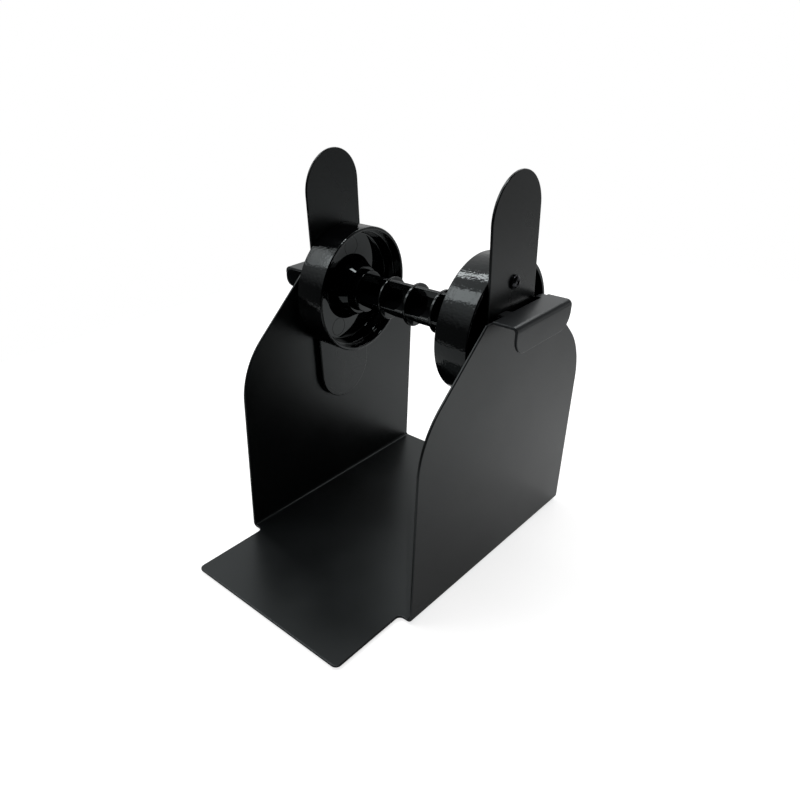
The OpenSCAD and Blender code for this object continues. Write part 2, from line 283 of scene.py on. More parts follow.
def moulded_gloss(name, dark, light, gloss, wave, rubbed_radius):
    """Glossy black ABS from a polished mould: sharp reflections that sink marks and flow bend.

    Outside the rubbed radius, paper cores have left small dents of about 2 mm and fine hair
    scratches of 0.5 to 0.7 mm.
    """
    material, tree, where = new_material(name)
    sizes = {"sink": (8 * MM, 1.0), "dents": (2.0 * MM, 1.5), "smear": (6 * MM, 3.0)}
    lumps = {
        kind: add_node(
            tree,
            "ShaderNodeTexNoise",
            {"Vector": where, "Scale": 1 / size, "Detail": detail, "Roughness": LUMP_FALL},
        )
        for kind, (size, detail) in sizes.items()
    }

    # 0 near the spindle's axis, and 1 where the cores rub
    across = add_node(
        tree, "ShaderNodeMapping", {"Vector": where, "Location": (0, -AXIS_Y, -AXIS_Z), "Scale": (0, 1, 1)}
    )
    reach = add_node(tree, "ShaderNodeVectorMath", {0: across}, operation="LENGTH").outputs["Value"]
    rubbed = add_node(
        tree,
        "ShaderNodeMapRange",
        {"Value": reach, "From Min": rubbed_radius - RUB_EDGE, "From Max": rubbed_radius},
    )

    # Hair scratches: noise drawn out round the rim, times noise drawn out along it
    streaks = []
    for along, aside in ((0.5 * MM, 14 * MM), (12 * MM, 0.7 * MM)):
        drawn = add_node(
            tree, "ShaderNodeMapping", {"Vector": where, "Scale": (1 / along, 1 / aside, 1 / aside)}
        )
        streaks.append(
            add_node(
                tree,
                "ShaderNodeTexNoise",
                {"Vector": drawn, "Scale": 1.0, "Detail": 2.0, "Roughness": LUMP_FALL},
            )
        )
    hair = add_node(tree, "ShaderNodeMath", {0: streaks[0], 1: streaks[1]}, operation="MULTIPLY")
    scratches = add_node(
        tree,
        "ShaderNodeMapRange",
        {"Value": hair, "From Min": 0.15, "From Max": 0.4, "To Min": 0.0, "To Max": 0.09},
    )
    scratched = add_node(tree, "ShaderNodeMath", {0: scratches, 1: rubbed}, operation="MULTIPLY")
    dented = add_node(tree, "ShaderNodeMath", {0: lumps["dents"], 1: rubbed}, operation="MULTIPLY")

    colour = add_node(
        tree, "ShaderNodeMix", {0: lumps["smear"], 6: linear(dark), 7: linear(light)}, data_type="RGBA"
    )
    roughness = add_node(tree, "ShaderNodeMath", {0: scratched, 1: gloss}, operation="ADD")
    normal = None
    for height, depth in ((lumps["sink"], wave), (dented, 0.11 * MM), (scratched, 0.14 * MM)):
        inputs = {"Height": height, "Distance": depth, "Strength": 1.0}
        if normal is not None:
            inputs["Normal"] = normal
        normal = add_node(tree, "ShaderNodeBump", inputs)
    return finish_material(
        material,
        {
            "Base Color": colour.outputs[2],
            "Roughness": roughness,
            "Normal": normal,
            "IOR": 1.5,
            "Specular Tint": COOL_SHINE,
        },
    )


def grained(name, dark, light, grain, gloss, dents, surface):
    """A finish of one even grain that carries the colour, the shine and a fine bump.

    grain is (size, detail), gloss the roughness at the grain's low and high end, and dents
    (size, detail, depth, strength) of the bump.
    """
    material, tree, where = new_material(name)
    patterns = [
        add_node(
            tree,
            "ShaderNodeTexNoise",
            {"Vector": where, "Scale": 1 / size, "Detail": detail, "Roughness": LUMP_FALL},
        )
        for size, detail in (grain, dents[:2])
    ]
    colour = add_node(
        tree, "ShaderNodeMix", {0: patterns[0], 6: linear(dark), 7: linear(light)}, data_type="RGBA"
    )
    shine = add_node(
        tree,
        "ShaderNodeMapRange",
        {"Value": patterns[0], "From Min": 0.3, "From Max": 0.7, "To Min": gloss[0], "To Max": gloss[1]},
    )
    pits = add_node(
        tree, "ShaderNodeBump", {"Height": patterns[1], "Distance": dents[2], "Strength": dents[3]}
    )
    look = {"Base Color": colour.outputs[2], "Roughness": shine, "Normal": pits}
    return finish_material(material, {**look, **surface})


# Powder coat: the strips' is the blackest, the hooks' the greyest, as the photograph has them. All three
# are one black coat: the strips' extra black is painted shade on the tongues, and the hooks' grey is
# painted light on the caps
BASE_COAT = powder_coat("powder_coated_steel_base", "#0e1011", "#121415", 0.30, 0.35)
STRIP_COAT_PAINTED_SHADE = powder_coat("powder_coated_steel_strip", "#0a0b0c", "#0e0f10", 0.26, 0.31)
HOOK_COAT_PAINTED_LIGHT = powder_coat("powder_coated_steel_hook", "#292b2d", "#2f3133", 0.30, 0.36)
# ABS: the rims are rubbed outside 37 mm, the spindle's collars outside 12 mm
WHEEL_PLASTIC = moulded_gloss("moulded_abs_wheel", "#040405", "#070809", 0.04, 0.010 * MM, 37 * MM)
SPINDLE_PLASTIC = moulded_gloss("moulded_abs_spindle", "#040405", "#060708", 0.05, 0.006 * MM, 12 * MM)
# Matt black acetal, lightly spark eroded: an even grain of 0.5 mm with no shine
BLOCK_PLASTIC = grained(
    "matt_acetal_block",
    "#08080a",
    "#0d0d0e",
    (0.5 * MM, 2.0),
    (0.42, 0.55),
    (0.5 * MM, 2.0, 0.02 * MM, 0.5),
    {"IOR": 1.48},
)
# Plated screw steel: a soft metal shine with small stains and turning marks 0.25 mm apart
SCREW_PLATE = grained(
    "black_nickel_screw",
    "#3a3b3e",
    "#55565a",
    (1.6 * MM, 3.0),
    (0.22, 0.34),
    (0.25 * MM, 1.0, 0.01 * MM, 0.4),
    {"Metallic": 1.0},
)
NUT_PLATE = grained(
    "zinc_plated_nut",
    "#8f9093",
    "#b3b4b6",
    (1.6 * MM, 3.0),
    (0.3, 0.42),
    (0.25 * MM, 1.0, 0.01 * MM, 0.4),
    {"Metallic": 1.0},
)
# Soft black rubber: dull, with a dusty grain of 0.6 mm
PAD_RUBBER = grained(
    "soft_pad_rubber",
    "#141414",
    "#222221",
    (0.6 * MM, 3.0),
    (0.75, 0.92),
    (0.6 * MM, 3.0, 0.03 * MM, 0.6),
    {"IOR": 1.52},
)


# Outlines and meshes


def arc(centre, radius, start, end, steps):
    """Points of an arc in a plane, ends included."""
    turns = [start + (end - start) * i / steps for i in range(steps + 1)]
    return [(centre[0] + radius * math.cos(t), centre[1] + radius * math.sin(t)) for t in turns]


def circle(centre, radius, steps):
    """Points of a whole circle, each once."""
    return arc(centre, radius, 0, FULL_TURN, steps)[:-1]


def rounded(corners, steps=6):
    """A closed outline whose corners (a, b, radius) are turned into arcs."""
    outline = []
    count = len(corners)
    for i, (a, b, radius) in enumerate(corners):
        here = Vector((a, b))
        back = (Vector(corners[i - 1][:2]) - here).normalized()
        ahead = (Vector(corners[(i + 1) % count][:2]) - here).normalized()
        angle = back.angle(ahead)
        nearly_straight = angle > math.pi - 0.01
        if radius <= 0 or nearly_straight:
            outline.append((a, b))
            continue
        reach = radius / math.tan(angle / 2)
        centre = here + (back + ahead).normalized() * radius / math.sin(angle / 2)
        first = here + back * reach - centre
        last = here + ahead * reach - centre
        start = math.atan2(first.y, first.x)
        sweep = math.atan2(last.y, last.x) - start
        sweep = (sweep + math.pi) % FULL_TURN - math.pi
        outline += arc(centre, radius, start, start + sweep, steps)
    return outline


def to_object(bm, name, material, outward=True):
    """A mesh object at the origin, with doubles merged and faces turned outwards."""
    bmesh.ops.remove_doubles(bm, verts=bm.verts, dist=MERGE)
    if outward:
        bmesh.ops.recalc_face_normals(bm, faces=bm.faces)
    mesh = bpy.data.meshes.new(name)
    bm.to_mesh(mesh)
    bm.free()
    mesh.polygons.foreach_set("use_smooth", [True] * len(mesh.polygons))
    piece = bpy.data.objects.new(name, mesh)
    bpy.context.scene.collection.objects.link(piece)
    mesh.materials.append(material)
    return piece


def add_face(bm, points):
    bm.faces.new([bm.verts.new(p) for p in points])


def join_rings(bm, rings):
    """Faces between each ring of vertices and the next."""
    for ring, after in zip(rings, rings[1:]):
        for j in range(len(ring)):
            k = (j + 1) % len(ring)
            bm.faces.new([ring[j], ring[k], after[k], after[j]])


def soften(piece, width, segments=3):
    """Rounds every sharp edge of a piece, as a tumbled, coated or moulded edge is."""
    bevel = piece.modifiers.new("edges", "BEVEL")
    bevel.width = width
    bevel.segments = segments
    bevel.limit_method = "ANGLE"
    bevel.angle_limit = SHARP_ANGLE
    bevel.use_clamp_overlap = False
    bevel.harden_normals = True
    return piece


def apply_modifiers(piece):
    """Bakes a piece's modifiers into its mesh."""
    graph = bpy.context.evaluated_depsgraph_get()
    mesh = bpy.data.meshes.new_from_object(piece.evaluated_get(graph))
    old = piece.data
    piece.modifiers.clear()
    piece.data = mesh
    mesh.name = old.name
    bpy.data.meshes.remove(old)
    return piece


def cut(piece, cutters):
    """Takes the cutters out of a piece."""
    for cutter in cutters:
        knife = piece.modifiers.new("cut", "BOOLEAN")
        knife.operation = "DIFFERENCE"
        knife.solver = "EXACT"
        knife.object = cutter
    apply_modifiers(piece)
    for cutter in cutters:
        bpy.data.objects.remove(cutter)
    return piece


def mirrored(piece, name):
    """A copy of a piece on the other side of the plane X = 0, with its faces still outwards."""
    copy = piece.copy()
    copy.data = piece.data.copy()
    copy.name = name
    copy.data.name = name
    copy.data.transform(Matrix.Scale(-1, 4, (1, 0, 0)))
    copy.data.flip_normals()
    bpy.context.scene.collection.objects.link(copy)
    return copy


def plate(name, outline, x0, x1, material):
    """A flat plate across X from a Y-Z outline."""
    bm = bmesh.new()
    for x in (x0, x1):
        add_face(bm, [(x, y, z) for y, z in outline])
    for (ya, za), (yb, zb) in zip(outline, outline[1:] + outline[:1]):
        add_face(bm, [(x0, ya, za), (x0, yb, zb), (x1, yb, zb), (x1, ya, za)])
    return to_object(bm, name, material)


def lathe(name, outline, material, steps):
    """Turns a closed outline of (x, radius) about the spindle's axis."""
    bm = bmesh.new()
    rings = [
        [bm.verts.new((x, y, z)) for y, z in circle((AXIS_Y, AXIS_Z), radius, steps)]
        for x, radius in outline
    ]
    join_rings(bm, rings + rings[:1])
    return to_object(bm, name, material)


def rod_x(name, radius, x0, x1, y, z):
    """A plain rod along X, used as a cutter."""
    return plate(name, circle((y, z), radius, HOLE_STEPS), x0, x1, BLOCK_PLASTIC)


def bend(bm, centre, radius, start, end, y_spans):
    """Strips of a bend about a line along Y, from angle start to angle end in the X-Z plane."""
    line = arc(centre, radius, start, end, 8)
    for y0, y1 in y_spans:
        for (xa, za), (xb, zb) in zip(line, line[1:]):
            add_face(bm, [(xa, y0, za), (xa, y1, za), (xb, y1, zb), (xb, y0, zb)])


def face_up(bm, pick, way):
    """Joins a folded skin, and turns it so that its lowest or highest face looks down or up."""
    bmesh.ops.remove_doubles(bm, verts=bm.verts, dist=MERGE)
    bmesh.ops.recalc_face_normals(bm, faces=bm.faces)
    outer = pick(bm.faces, key=lambda face: face.calc_center_median().z)
    if outer.normal.z * way < 0:
        bmesh.ops.reverse_faces(bm, faces=bm.faces)


def folded_sheet(bm, name, material, edge):
    """A skin that faces outwards, thickened inwards to the sheet and softened at its cut edges."""
    piece = to_object(bm, name, material, outward=False)
    solid = piece.modifiers.new("sheet", "SOLIDIFY")
    solid.thickness = SHEET
    solid.offset = -1
    solid.use_even_offset = True
    return soften(piece, edge)


# Base


def wall_outline():
    """The swept edge of a side wall, from its front foot over the top to its rear foot."""
    half = WALL_DEPTH / 2
    corner_z = WALL_TOP_Z - (half - WALL_TOP / 2) * math.tan(SLANT)
    sweep_z = corner_z - SWEEP_R * math.tan((QUARTER - SLANT) / 2)
    rear_side = arc((half - SWEEP_R, sweep_z), SWEEP_R, 0, QUARTER - SLANT, 24)
    rear_side += [(WALL_TOP / 2, WALL_TOP_Z)]
    front_side = [(-y, z) for y, z in reversed(rear_side)]
    return [(AXIS_Y + y, z) for y, z in rear_side + front_side]


def base_sheet():
    """Floor, walls and tray, folded from one sheet."""
    y0 = AXIS_Y - WALL_DEPTH / 2
    y1 = AXIS_Y + WALL_DEPTH / 2
    side_x = base_high.x
    fold_x = side_x - BEND_R
    fold_z = FLOOR_Z + BEND_R
    tray_y = base_low.y
    half = [(fold_x, y1), (fold_x, y0)]
    half += arc((TRAY_HALF + TRAY_ROOT_R, y0 - TRAY_ROOT_R), TRAY_ROOT_R, QUARTER, math.pi, 8)
    half += arc((TRAY_HALF - TRAY_CORNER, tray_y + TRAY_CORNER), TRAY_CORNER, 0, -QUARTER, 8)
    floor = half + [(-x, y) for x, y in reversed(half)]
    bm = bmesh.new()
    add_face(bm, [(x, y, FLOOR_Z) for x, y in floor])
    for side in SIDES:
        upright = 0 if side > 0 else -math.pi
        bend(bm, (side * fold_x, fold_z), BEND_R, -QUARTER, upright, [(y0, y1)])
        wall = [(y0, fold_z), (y1, fold_z)] + wall_outline()
        add_face(bm, [(side * side_x, y, z) for y, z in wall])
    face_up(bm, min, -1)
    return folded_sheet(bm, "base_sheet", BASE_COAT, BASE_EDGE)


def foot_pad_set():
    """Four pads under the floor."""
    bm = bmesh.new()
    outline = rounded(
        [(ON_AXIS, 0, 0), (PAD_R, 0, PAD_EDGE), (PAD_R, PAD_H, 0.0), (ON_AXIS, PAD_H, 0)], 5
    )
    for side in SIDES:
        x = side * (TRAY_HALF - PAD_INSET)
        for y in (base_low.y + PAD_INSET, base_high.y - PAD_INSET):
            rings = [
                [bm.verts.new((a, b, height)) for a, b in circle((x, y), radius, PAD_STEPS)]
                for radius, height in outline
            ]
            join_rings(bm, rings)
    return to_object(bm, "foot_pad_set", PAD_RUBBER)


# Hangers


def on_strip(u, v):
    """Where a point of the leaning strip is: u across it, v up it from the spindle's axis."""
    y = AXIS_Y + u * math.cos(STRIP_LEAN) - v * math.sin(STRIP_LEAN)
    z = AXIS_Z + u * math.sin(STRIP_LEAN) + v * math.cos(STRIP_LEAN)
    return y, z


def right_strip_plate():
    """Finger tongue and guard in one, with the screw's and the peg's holes."""
    upper = arc((0, STRIP_UP - STRIP_HALF), STRIP_HALF, 0, math.pi, 40)
    lower = arc((0, STRIP_HALF - STRIP_DOWN), STRIP_HALF, math.pi, FULL_TURN, 40)
    outline = [on_strip(u, v) for u, v in upper + lower]
    piece = plate("right_strip_plate", outline, strip_low.x, strip_high.x, STRIP_COAT_PAINTED_SHADE)
    x0, x1 = strip_low.x - SHEET, strip_high.x + SHEET
    screw_hole = rod_x("screw_hole", SCREW_HOLE_R, x0, x1, *on_strip(0, SCREW_REACH))
    peg_hole = rod_x("peg_hole", PEG_HOLE_R, x0, x1, *on_strip(0, -SCREW_REACH))
    cut(piece, [screw_hole, peg_hole])
    return soften(piece, STRIP_EDGE)


def right_hook_sheet():
    """Inner leg, cap and outer flange, with the window at the inner bend."""
    y0, y1 = hook_low.y, hook_high.y
    leg0, leg1 = (y0 + (y1 - y0) * share for share in LEG_SHARES)
    win0, win1 = (y0 + (y1 - y0) * share for share in WINDOW_SHARES)
    leg_x, flange_x = hook_low.x, hook_high.x
    top_z, leg_z = hook_high.z, hook_low.z
    relief_x = leg_x + RELIEF
    inner_x, inner_z = leg_x + LEG_BEND_R, top_z - LEG_BEND_R
    outer_x, outer_z = flange_x - FLANGE_BEND_R, top_z - FLANGE_BEND_R

    leg = [(leg0, inner_z)]
    leg += arc((leg0 + LEG_CORNER, leg_z + LEG_CORNER), LEG_CORNER, math.pi, 1.5 * math.pi, 8)
    leg += arc((leg1 - LEG_CORNER, leg_z + LEG_CORNER), LEG_CORNER, -QUARTER, 0, 8)
    leg += [(leg1, inner_z), (win1, inner_z), (win1, top_z - WINDOW_DROP)]
    leg += [(win0, top_z - WINDOW_DROP), (win0, inner_z)]

    cap = [(inner_x, leg0), (relief_x, leg0), (relief_x, y0), (outer_x, y0)]
    cap += [(outer_x, y1), (relief_x, y1), (relief_x, leg1), (inner_x, leg1), (inner_x, win1)]
    corner_x = relief_x - WINDOW_CORNER
    cap += arc((corner_x, win1 - WINDOW_CORNER), WINDOW_CORNER, QUARTER, 0, 5)
    cap += arc((corner_x, win0 + WINDOW_CORNER), WINDOW_CORNER, 0, -QUARTER, 5)
    cap += [(inner_x, win0)]

    low_z = top_z - FLANGE_DEPTH + FLANGE_CORNER
    flange = [(y0, outer_z)]
    flange += arc((y0 + FLANGE_CORNER, low_z), FLANGE_CORNER, math.pi, 1.5 * math.pi, 12)
    flange += arc((y1 - FLANGE_CORNER, low_z), FLANGE_CORNER, -QUARTER, 0, 12)
    flange += [(y1, outer_z)]

    bm = bmesh.new()
    add_face(bm, [(leg_x, y, z) for y, z in leg])
    add_face(bm, [(x, y, top_z) for x, y in cap])
    add_face(bm, [(flange_x, y, z) for y, z in flange])
    bend(bm, (inner_x, inner_z), LEG_BEND_R, math.pi, QUARTER, [(leg0, win0), (win1, leg1)])
    bend(bm, (outer_x, outer_z), FLANGE_BEND_R, QUARTER, 0, [(y0, y1)])
    face_up(bm, max, 1)
    return folded_sheet(bm, "right_hook_sheet", HOOK_COAT_PAINTED_LIGHT, HOOK_EDGE)


def right_screw_piece():
    """Pan head with a cross recess, and its shank."""
    y, z = on_strip(0, SCREW_REACH)
    head_x = strip_high.x
    top_x = head_x + SCREW_HEAD_H
    outline = rounded(
        [
            (BLOCK_X, ON_AXIS, 0),
            (BLOCK_X, SCREW_SHANK_R, SCREW_TIP_EDGE),
            (head_x, SCREW_SHANK_R, 0),
            (head_x, SCREW_HEAD_R, HEAD_SEAT_EDGE),
            (head_x + HEAD_SIDE_H, SCREW_HEAD_R, HEAD_SIDE_EDGE),
            (head_x + HEAD_CROWN_H, HEAD_CROWN_R, HEAD_CROWN_EDGE),
            (top_x, ON_AXIS, 0),
        ],
        8,
    )
    piece = lathe("right_screw_piece", outline, SCREW_PLATE, SCREW_STEPS)
    piece.data.transform(Matrix.Translation((0, y - AXIS_Y, z - AXIS_Z)))
    wings = []
    for wing in range(2):
        turn = Matrix.Rotation(wing * QUARTER + STRIP_LEAN + RECESS_TURN, 2)
        bm = bmesh.new()
        corners = []
        for x, half in (
            (top_x - RECESS_DEPTH, RECESS_FLOOR_HALF),
            (top_x + RECESS_OVERRUN, RECESS_MOUTH_HALF),
        ):
            for a, b in ((-half, -1), (half, -1), (half, 1), (-half, 1)):
                place = turn @ Vector((a, b * RECESS_HALF_W))
                corners.append(bm.verts.new((x, y + place.x, z + place.y)))
        for face in ((0, 1, 2, 3), (4, 5, 6, 7), (0, 1, 5, 4), (1, 2, 6, 5), (2, 3, 7, 6), (3, 0, 4, 7)):
            bm.faces.new([corners[i] for i in face])
        wings.append(to_object(bm, f"recess_{wing}", SCREW_PLATE))
    cut(piece, wings)
    return soften(piece, SCREW_EDGE, 2)


def softened_copy(node, name, material, width):
    """A merged copy of a node's solid with its edges rounded."""
    bm = bmesh.new()
    bm.from_mesh(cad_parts[node].data)
    bmesh.ops.remove_doubles(bm, verts=bm.verts, dist=MERGE)
    bmesh.ops.dissolve_limit(bm, angle_limit=FLAT_ANGLE, verts=bm.verts, edges=bm.edges)
    return soften(to_object(bm, name, material), width)


# Wheels


def right_wheel_moulding():
    """Stepped rim, web and tapered hub, with two ejector marks on the web."""
    rim_in, rim_out = wheel_low.x, wheel_high.x
    radius = (wheel_high.z - wheel_low.z) / 2
    mouth = radius - RIM
    hollow = mouth - STEP_IN
    step_x = rim_in + STEP_DEPTH
    web_out = rim_out - WEB_INSET
    web_in = web_out - WEB
    hub_x = rim_in + HUB_SETBACK
    outline = rounded(
        [
            (hub_x, HUB_BORE_R, BORE_EDGE),
            (hub_x, HUB_R, HUB_EDGE),
            (web_in, HUB_FOOT_R, HUB_FOOT_EDGE),
            (web_in, hollow - DRAFT, HOLLOW_EDGE),
            (step_x, hollow, HOLLOW_EDGE),
            (step_x, mouth, STEP_EDGE),
            (rim_in, mouth, MOUTH_EDGE),
            (rim_in, radius, RIM_EDGE),
            (rim_out, radius, RIM_BACK_EDGE),
            (rim_out, mouth, BACK_MOUTH_EDGE),
            (web_out, mouth, BACK_HOLLOW_EDGE),
            (web_out, HUB_BORE_R, BORE_EDGE),
        ]
    )
    piece = lathe("right_wheel_moulding", outline, WHEEL_PLASTIC, RIM_STEPS)
    bm = bmesh.new()
    bm.from_mesh(piece.data)
    for reach, angle in PIN_MARK_PLACES:
        centre = (AXIS_Y + reach * math.cos(angle), AXIS_Z + reach * math.sin(angle))
        rings = []
        for step, rise in PIN_MARK_PROFILE:
            ring = circle(centre, PIN_MARK_R - PIN_MARK_WIDTH * step, MARK_STEPS)
            rings.append([bm.verts.new((web_in - PIN_MARK_DEPTH * rise, y, z)) for y, z in ring])
        join_rings(bm, rings[::-1])
    bm.to_mesh(piece.data)
    bm.free()
    piece.data.polygons.foreach_set("use_smooth", [True] * len(piece.data.polygons))
    return piece


# Spindle

# The inputs of its tree: name, kind of socket and value
SPINDLE_INPUTS = (
    ("Length", "Float", spindle_high.x - spindle_low.x),
    ("Socket radius", "Float", SOCKET_R),
    ("Bore radius", "Float", SOCKET_BORE_R),
    ("Socket depth", "Float", SOCKET_DEPTH),
    ("Collar radius", "Float", COLLAR_R),
    ("Collar width", "Float", COLLAR_W),
    ("Collar pitch", "Float", COLLAR_PITCH),
    ("Collars", "Int", COLLARS),
    ("Rib radius", "Float", RIB_R),
    ("Rib width", "Float", RIB_W),
    ("Ribs", "Int", RIBS),
    ("Rib turn", "Float", RIB_TURN),
    ("Centre", "Vector", (0.0, AXIS_Y, AXIS_Z)),
    ("Material", "Material", SPINDLE_PLASTIC),
)


def rounded_profile(tree, width, height, fillet):
    """A box profile with rounded corners."""
    box = add_node(tree, "GeometryNodeCurvePrimitiveQuadrilateral", {"Width": width, "Height": height})
    inputs = {"Curve": box, "Count": 4, "Radius": fillet, "Limit Radius": True}
    return add_node(tree, "GeometryNodeFilletCurve", inputs, mode="POLY")


def turned_ring(tree, inner, outer, width, fillet):
    """A ring about Z: a rounded box profile carried round a circle."""
    both = add_node(tree, "ShaderNodeMath", {0: inner, 1: outer}, operation="ADD")
    middle = add_node(tree, "ShaderNodeMath", {0: both, 1: 0.5}, operation="MULTIPLY")
    depth = add_node(tree, "ShaderNodeMath", {0: outer, 1: inner}, operation="SUBTRACT")
    inputs = {"Resolution": RING_STEPS, "Radius": middle}
    path = add_node(tree, "GeometryNodeCurvePrimitiveCircle", inputs)
    profile = rounded_profile(tree, depth, width, fillet)
    return add_node(tree, "GeometryNodeCurveToMesh", {"Curve": path, "Profile Curve": profile})


def spindle_collars(tree, given):
    """Full discs at a pitch along Z, set about the middle."""
    disc = turned_ring(tree, PIN_PRICK, given["Collar radius"], given["Collar width"], COLLAR_EDGE)
    gaps = add_node(tree, "ShaderNodeMath", {0: given["Collars"], 1: 1.0}, operation="SUBTRACT")
    span = add_node(tree, "ShaderNodeMath", {0: gaps, 1: given["Collar pitch"]}, operation="MULTIPLY")
    start = add_node(tree, "ShaderNodeMath", {0: span, 1: -0.5}, operation="MULTIPLY")
    line = add_node(
        tree,
        "GeometryNodeMeshLine",
        {
            "Count": given["Collars"],
            "Start Location": add_node(tree, "ShaderNodeCombineXYZ", {"Z": start}),
            "Offset": add_node(tree, "ShaderNodeCombineXYZ", {"Z": given["Collar pitch"]}),
        },
    )
    return add_node(tree, "GeometryNodeInstanceOnPoints", {"Points": line, "Instance": disc})


def spindle_ribs(tree, given):
    """Long ribs from the axis outwards, turned evenly round it."""
    ends = []
    for share in (-RIB_END_SHARE, RIB_END_SHARE):
        height = add_node(tree, "ShaderNodeMath", {0: given["Length"], 1: share}, operation="MULTIPLY")
        ends.append(add_node(tree, "ShaderNodeCombineXYZ", {"Z": height}))
    path = add_node(tree, "GeometryNodeCurvePrimitiveLine", {"Start": ends[0], "End": ends[1]})
    profile = rounded_profile(tree, given["Rib width"], given["Rib radius"], RIB_EDGE)
    inputs = {"Curve": path, "Profile Curve": profile, "Fill Caps": True}
    bar = add_node(tree, "GeometryNodeCurveToMesh", inputs)
    out = add_node(tree, "ShaderNodeMath", {0: given["Rib radius"], 1: 0.5}, operation="MULTIPLY")
    way = add_node(tree, "ShaderNodeCombineXYZ", {"Y": out})
    rib = add_node(tree, "GeometryNodeTransform", {"Geometry": bar, "Translation": way})

    spots = add_node(tree, "GeometryNodeMeshLine", {"Count": given["Ribs"], "Offset": (0, 0, 0)})
    number = add_node(tree, "GeometryNodeInputIndex")
    step = add_node(tree, "ShaderNodeMath", {0: FULL_TURN, 1: given["Ribs"]}, operation="DIVIDE")
    place = add_node(tree, "ShaderNodeMath", {0: number, 1: step}, operation="MULTIPLY")
    turn = add_node(tree, "ShaderNodeMath", {0: place, 1: given["Rib turn"]}, operation="ADD")
    angles = add_node(tree, "ShaderNodeCombineXYZ", {"Z": turn})
    spin = add_node(tree, "FunctionNodeEulerToRotation", {0: angles})
    return add_node(
        tree, "GeometryNodeInstanceOnPoints", {"Points": spots, "Instance": rib, "Rotation": spin}
    )


def spindle_sockets(tree, given):
    """An open tube with a floor at both ends."""
    tube = turned_ring(
        tree, given["Bore radius"], given["Socket radius"], given["Socket depth"], SOCKET_EDGE
    )
    bottom = turned_ring(tree, PIN_PRICK, given["Socket radius"], given["Rib width"], SOCKET_EDGE)
    half = add_node(tree, "ShaderNodeMath", {0: given["Length"], 1: 0.5}, operation="MULTIPLY")
    depth = given["Socket depth"]
    half_depth = add_node(tree, "ShaderNodeMath", {0: depth, 1: 0.5}, operation="MULTIPLY")
    half_rib = add_node(tree, "ShaderNodeMath", {0: given["Rib width"], 1: 0.5}, operation="MULTIPLY")
    below = add_node(tree, "ShaderNodeMath", {0: depth, 1: half_rib}, operation="ADD")
    sockets = []
    for side in SIDES:
        for shape, inset in ((tube, half_depth), (bottom, below)):
            height = add_node(tree, "ShaderNodeMath", {0: half, 1: inset}, operation="SUBTRACT")
            place = add_node(tree, "ShaderNodeMath", {0: height, 1: side}, operation="MULTIPLY")
            way = add_node(tree, "ShaderNodeCombineXYZ", {"Z": place})
            sockets.append(
                add_node(tree, "GeometryNodeTransform", {"Geometry": shape, "Translation": way})
            )
    return sockets


def spindle_tree():
    """Geometry nodes: long ribs in a cross, collars at a pitch and a socket at each end."""
    tree = bpy.data.node_groups.new("ribbed_spindle", "GeometryNodeTree")
    tree.is_modifier = True
    for name, kind, _ in SPINDLE_INPUTS:
        tree.interface.new_socket(name, in_out="INPUT", socket_type=f"NodeSocket{kind}")
    tree.interface.new_socket("Geometry", in_out="OUTPUT", socket_type="NodeSocketGeometry")
    given = add_node(tree, "NodeGroupInput").outputs
    whole = add_node(tree, "GeometryNodeJoinGeometry")
    for part in (spindle_collars(tree, given), spindle_ribs(tree, given), *spindle_sockets(tree, given)):
        tree.links.new(part.outputs[0], whole.inputs[0])
    real = add_node(tree, "GeometryNodeRealizeInstances", {"Geometry": whole})
    inputs = {"Geometry": real, "Rotation": (0, QUARTER, 0), "Translation": given["Centre"]}
    lying = add_node(tree, "GeometryNodeTransform", inputs)
    smooth = add_node(tree, "GeometryNodeSetShadeSmooth", {"Geometry": lying})
    dressed = add_node(
        tree, "GeometryNodeSetMaterial", {"Geometry": smooth, "Material": given["Material"]}
    )
    add_node(tree, "NodeGroupOutput", {0: dressed})
    return tree


def spindle_moulding():
    """Runs the spindle's tree on an empty mesh and keeps the result as a plain mesh."""
    name = "spindle_moulding"
    piece = bpy.data.objects.new(name, bpy.data.meshes.new(name))
    bpy.context.scene.collection.objects.link(piece)
    modifier = piece.modifiers.new("grow", "NODES")
    modifier.node_group = spindle_tree()
    values = {name: value for name, _, value in SPINDLE_INPUTS}
    for item in modifier.node_group.interface.items_tree:
        if item.in_out == "INPUT":
            modifier[item.identifier] = values[item.name]
    return apply_modifiers(piece)


# The object


def hand_over(piece, body, slot_name, *nodes):
    """Gives a piece its body and hides the nodes that it stands for; slot_name is not used."""
    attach(piece, body)
    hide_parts(*nodes)


def build_object():
    """The three middle pieces, and each right piece with its mirror image."""
    hand_over(base_sheet(), "base", "base", "base")
    hand_over(foot_pad_set(), "base", "pad", "foot_pads")
    hand_over(spindle_moulding(), "spindle", "spindle", "spindle")
    strip = right_strip_plate()
    hook = right_hook_sheet()
    screw = right_screw_piece()
    block = softened_copy("right_bearing", "right_bearing_block", BLOCK_PLASTIC, BLOCK_EDGE)
    nut = softened_copy("right_nut", "right_nut_piece", NUT_PLATE, NUT_EDGE)
    journal = softened_copy("right_journal", "right_journal_plug", SPINDLE_PLASTIC, JOURNAL_EDGE)
    wheel = right_wheel_moulding()
    pairs = (
        (strip, "carrier", "strip", "strip"),
        (hook, "carrier", "hook", "hook"),
        (screw, "carrier", "screw", "screw"),
        (block, "carrier", "block", "bearing"),
        (nut, "carrier", "nut", "nut"),
        (journal, "spindle", "spindle", "journal"),
        (wheel, "{side}_wheel", "wheel", "wheel"),
    )
    for right, body, slot_name, node in pairs:
        left = mirrored(right, right.name.replace("right", "left"))
        for side, piece in (("right", right), ("left", left)):
            hand_over(piece, body.format(side=side), slot_name, f"{side}_{node}")


# Camera, solved from the folded base in the photograph
CAMERA_AT = (0.23145, -0.28804, 0.28450)
CAMERA_RIGHT = (0.71380, 0.69986, -0.02610)
CAMERA_UP = (-0.31357, 0.35269, 0.88163)
CAMERA_LENS = 32.164
CAMERA_SENSOR = 36
CAMERA_SHIFT = (0.1064, 0.0131)


